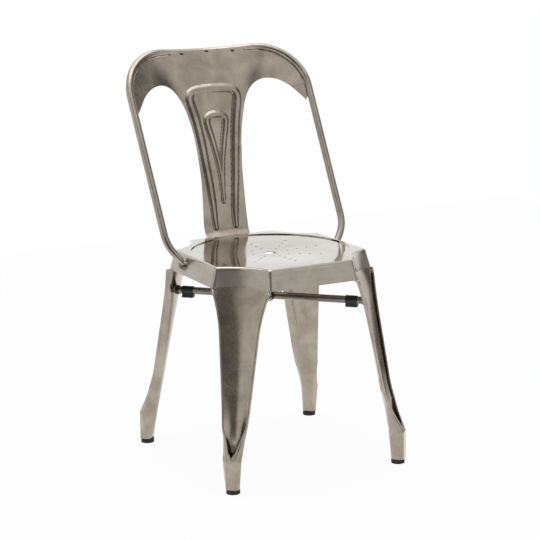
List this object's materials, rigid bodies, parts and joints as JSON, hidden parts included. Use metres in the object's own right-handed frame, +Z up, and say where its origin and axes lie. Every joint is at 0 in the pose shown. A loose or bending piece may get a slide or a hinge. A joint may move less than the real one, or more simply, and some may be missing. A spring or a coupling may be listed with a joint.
{
  "type": "metal bistro chair",
  "caption": "Stackable steel bistro chair: octagonal dished seat with a flared skirt, folded splayed legs, a bent tube hoop and a pressed back panel.",
  "frame": {"origin": "on the floor, under the middle of the chair's bounding box", "axes": "+Z up, +X across to the right seen from the front, -Y the front edge of the seat"},
  "size_m": [0.447, 0.5178, 0.8505],
  "materials": {
    "lacquered_steel": "clear-lacquered raw steel, satin gloss",
    "weld": "ground weld under lacquer",
    "plated_fasteners": "zinc plated",
    "black_rubber": "matt",
    "black_plastic": "moulded, satin"
  },
  "bodies": {
    "root": {"seat_pan": "lacquered_steel", "back_hoop": "lacquered_steel", "back_panel": "lacquered_steel", "leg_front_left": "lacquered_steel", "leg_front_right": "lacquered_steel", "leg_rear_left": "lacquered_steel", "leg_rear_right": "lacquered_steel", "brace_long": "lacquered_steel", "brace_half_front": "lacquered_steel", "brace_half_rear": "lacquered_steel", "brace_leg_welds": "weld", "brace_cross_welds": "weld", "panel_tacks": "weld", "hoop_bolts": "plated_fasteners", "hoop_washers": "plated_fasteners", "hoop_nuts": "plated_fasteners", "foot_front_left": "black_rubber", "bumper_front_left": "black_plastic", "foot_front_right": "black_rubber", "bumper_front_right": "black_plastic", "foot_rear_left": "black_rubber", "bumper_rear_left": "black_plastic", "foot_rear_right": "black_rubber", "bumper_rear_right": "black_plastic"}
  },
  "joints": []
}
